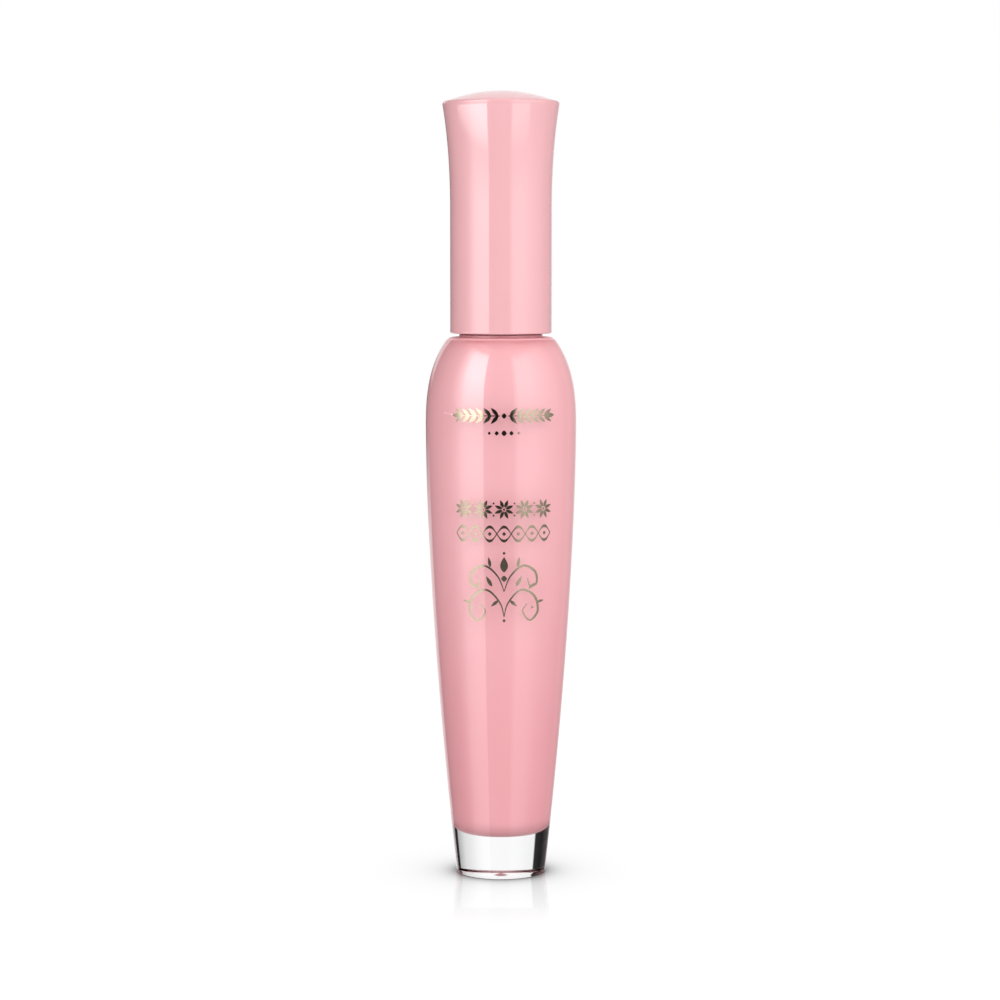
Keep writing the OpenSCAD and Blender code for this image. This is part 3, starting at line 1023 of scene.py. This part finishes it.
class Sky:
    """Radiance of the studio as a function of direction. Azimuth is in degrees from the direction
    that the printed front faces, and elevation in degrees above the table."""

    def __init__(self, tree):
        self.tree = tree
        direction = tree.nodes.new("ShaderNodeTexCoord").outputs["Generated"]
        x, y, z = add_node(tree, "ShaderNodeSeparateXYZ", direction).outputs
        turn = self.maths("ARCTAN2", self.maths("MULTIPLY", x, -1), self.maths("MULTIPLY", y, -1))
        self.left = self.maths("MULTIPLY", turn, 180 / math.pi)
        self.right = self.maths("MULTIPLY", self.left, -1)
        self.elevation = self.maths("MULTIPLY", self.maths("ARCSINE", z), 180 / math.pi)

    def maths(self, operation, a, b=None):
        return maths_node(self.tree, operation, a, b)

    def graph(self, value, *points):
        """A value read off straight lines between points of (degrees, radiance)."""
        total = points[0][1]
        for (x0, y0), (x1, y1) in zip(points, points[1:]):
            if y0 == y1:
                continue
            rise = add_node(self.tree, "ShaderNodeMapRange", value, x0, x1, 0, y1 - y0)
            total = self.maths("ADD", rise.outputs["Result"], total)
        return total

    def product(self, a, b):
        """Two radiances multiplied."""
        return self.maths("MULTIPLY", a, b)

    def reflected(self, refracted):
        """What gloss and clear plastic show: two softboxes, the sweep behind, ceiling and table.
        Refracted rays, which go through the clear foot, see the sweep's sharp and bright edges."""
        left_box = self.product(
            self.graph(self.left, (26.2, 0), (27.8, 0.95), (50, 1), (60, 0.9), (72, 0.35), (84, 0.05),
                       (96, 0)),
            self.graph(self.elevation, (-30, 0.3), (-22, 1.2), (-15, 1.9), (-5, 2.4), (0, 3.6), (7, 4.4),
                       (26, 6.1), (42, 5.7), (48, 4), (52, 0)),
        )
        right_box = self.product(
            self.graph(self.right, (18, 0), (28, 1), (50, 1), (75, 0.5), (105, 0.1), (115, 0)),
            self.graph(self.elevation, (-30, 0.3), (-22, 0.8), (-15, 1.1), (-5, 1.2), (0, 2.1), (7, 2.2),
                       (26, 2.3), (42, 2.1), (52, 0)),
        )
        wall = self.graph(self.elevation, (-60, 1), (50, 1), (62, 0))
        gap = self.maths("MAXIMUM", self.graph(self.elevation, (-7, 1), (-4, 0.08), (2, 0.08), (6, 1)),
                         self.graph(self.left, (164, 0), (176, 1)))
        sweep_left = self.product(
            self.product(self.graph(self.left, (143.5, 0), (145.5, 0.95), (180, 1)), wall),
            self.maths("MAXIMUM", gap, refracted),
        )
        sweep_right = self.product(
            self.product(self.graph(self.right, (123, 0), (125, 0.5), (131, 0.62), (141, 0.82), (165, 1)),
                         wall),
            self.maths("MAXIMUM", self.graph(self.right, (150, 0.2), (176, 1)), refracted),
        )
        ceiling = self.graph(self.elevation, (61, 0), (70, 0.8))
        below = self.graph(self.elevation, (-50, 1), (-32, 0))
        front = self.product(
            self.graph(self.elevation, (-30, 0.9), (-15, 0.4), (-9, 0)),
            self.graph(self.maths("ABSOLUTE", self.left), (20, 1), (70, 0)),
        )
        total = 0.015
        for part in (left_box, right_box, sweep_left, sweep_right, ceiling, below, front):
            total = self.maths("ADD", part, total)
        return total

    def soft(self):
        """The even light that matt surfaces gather, weaker from the left and none from behind it."""
        return self.product(
            self.graph(self.left, (-60, 1.45), (-30, 1.68), (40, 1.68), (60, 1.1), (100, 1.1), (115, 0)),
            self.graph(self.elevation, (25, 1), (90, 0.45)),
        )


def studio():
    """Soft white studio: a strong softbox to the left, a weaker one to the right, a white sweep
    behind, a pale ceiling and darkness round the camera. Only gloss and refraction see these. Matt
    surfaces get a soft light, and the background itself is plain white."""
    world = bpy.data.worlds.new("studio")
    bpy.context.scene.world = world
    world.use_nodes = True
    tree = world.node_tree
    tree.nodes.clear()
    sky = Sky(tree)
    rays = tree.nodes.new("ShaderNodeLightPath").outputs
    sharp = sky.maths("MAXIMUM", rays["Is Glossy Ray"], rays["Is Transmission Ray"])

    def background(colour):
        return add_node(tree, "ShaderNodeBackground", colour).outputs[0]

    lit = blend(tree, sharp, background(sky.soft()), background(sky.reflected(rays["Is Transmission Ray"])))
    seen = blend(tree, rays["Is Camera Ray"], lit, background((1, 1, 1, 1)))
    add_node(tree, "ShaderNodeOutputWorld", Surface=seen)
    bpy.context.scene.view_settings.view_transform = "Standard"


def floor():
    """White table top that glows like the background, mirrors faintly close to the tube and has a painted
    shadow where the tube stands. It lights the tube from below, but gloss and glass look past it at the
    studio, apart from a painted shadow under the front of the foot: a dim half disc of shade that only
    reflection and refraction see."""
    radius, drop = 0.6, 0.00002
    seen_glow, cast_glow = 1.04, 0.8
    gloss, gloss_near, gloss_far = 0.26, 0.004, 0.05
    mesh = bpy.data.meshes.new("table_top")
    shaped = bmesh.new()
    bmesh.ops.create_circle(shaped, cap_ends=True, segments=128, radius=radius)
    shaped.to_mesh(mesh)
    shaped.free()
    table = add_object("table_top", mesh)
    table.location.z = -drop
    surface = Surface("white table")
    tree = surface.tree
    distance = surface.distance()

    def shadow_at(depth, reach_mm):
        """A shadow that is deepest at the foot and dies away over reach_mm."""
        inside = surface.maths("SUBTRACT", foot_r * MM, distance)
        fall = surface.maths("MULTIPLY", inside, 1 / (reach_mm * MM))
        return surface.maths("MULTIPLY", surface.maths("EXPONENT", surface.maths("MINIMUM", fall, 0)), depth)

    shade = surface.maths("SUBTRACT", surface.maths("SUBTRACT", 1, shadow_at(0.3, 3.4)), shadow_at(0.62, 1.5))
    rays = tree.nodes.new("ShaderNodeLightPath").outputs
    white = surface.node("ShaderNodeEmission", Color=shade,
                         Strength=surface.remap(rays["Is Diffuse Ray"], 0, 1, seen_glow, cast_glow))
    mirror = surface.node("ShaderNodeBsdfGlossy", Roughness=0.05)
    fade = surface.remap(distance, gloss_near, gloss_far, gloss, 0, smooth=True)
    seen = blend(tree, fade, white.outputs[0], mirror.outputs[0])

    sharp = surface.maths("MAXIMUM", rays["Is Glossy Ray"], rays["Is Transmission Ray"])
    # painted shadow: a dim half disc under the front of the foot, which reflection and refraction see in
    # place of the shaded table there
    painted_foot_shadow = surface.node("ShaderNodeEmission", Color=(0.10, 0.08, 0.085, 1))
    across = surface.node("ShaderNodeSeparateXYZ", Vector=surface.place).outputs["Y"]
    beyond = surface.maths("GREATER_THAN", distance, (foot_r + 0.8) * MM)
    clear_of_foot = surface.maths("MAXIMUM", beyond, surface.maths("GREATER_THAN", across, 0))
    gone = surface.node("ShaderNodeBsdfTransparent")
    surface.show(blend(tree, sharp, seen, blend(tree, clear_of_foot, painted_foot_shadow.outputs[0], gone.outputs[0])))
    mesh.materials.append(surface.material)


def glow_cards():
    """Two level white cards beside the view, which brighten the gloss of the cap's flare. They lie just
    above the bottle's widest height, so that from the front little else shows them. Only reflections
    see them."""
    card_z, near, fade, far, steps = belly_z + 1.5, 0.17, 0.24, 0.40, 24
    for name, start, end, strength in (("left_card", 28, 96, 4.6), ("right_card", -60, -22, 1.6)):
        points = []
        for i in range(steps + 1):
            turn = math.radians(start + (end - start) * i / steps)
            for r in (near, far):
                points.append((-r * math.sin(turn), -r * math.cos(turn), 0))
        faces = [(2 * i, 2 * i + 1, 2 * i + 3, 2 * i + 2) for i in range(steps)]
        mesh = bpy.data.meshes.new(name)
        mesh.from_pydata(points, [], faces)
        surface = Surface(name)
        bright = surface.remap(surface.distance(), fade, far, strength, 0)
        glow = surface.node("ShaderNodeEmission", Strength=bright)
        clear = surface.node("ShaderNodeBsdfTransparent")
        added = surface.node("ShaderNodeAddShader", glow.outputs[0], clear.outputs[0])
        surface.show(added.outputs[0])
        mesh.materials.append(surface.material)
        card = add_object(name, mesh)
        card.location.z = card_z * MM
        for rays in ("camera", "diffuse", "transmission", "shadow"):
            setattr(card, "visible_" + rays, False)


def camera():
    """Long lens in front of the tube, a little above its middle and tilted down."""
    field, tilt, place = 20.254, 5.116, (-0.00016, -0.4639, 0.104)
    lens = bpy.data.cameras.new("camera")
    lens.angle = math.radians(field)
    made = add_object("camera", lens)
    made.location = place
    made.rotation_euler = (math.radians(90 - tilt), 0, 0)
    bpy.context.scene.camera = made


camera()
studio()
floor()
glow_cards()
clear_shell()
pink_vial()
soft_wiper()
mascara_fill()
foam_washer()
rubber_ring()
flared_cap()
domed_top()
threaded_insert()
black_stem()
twisted_wire()
bristles()
cream_on_brush()
foil_ornament()

bpy.context.view_layer.update()
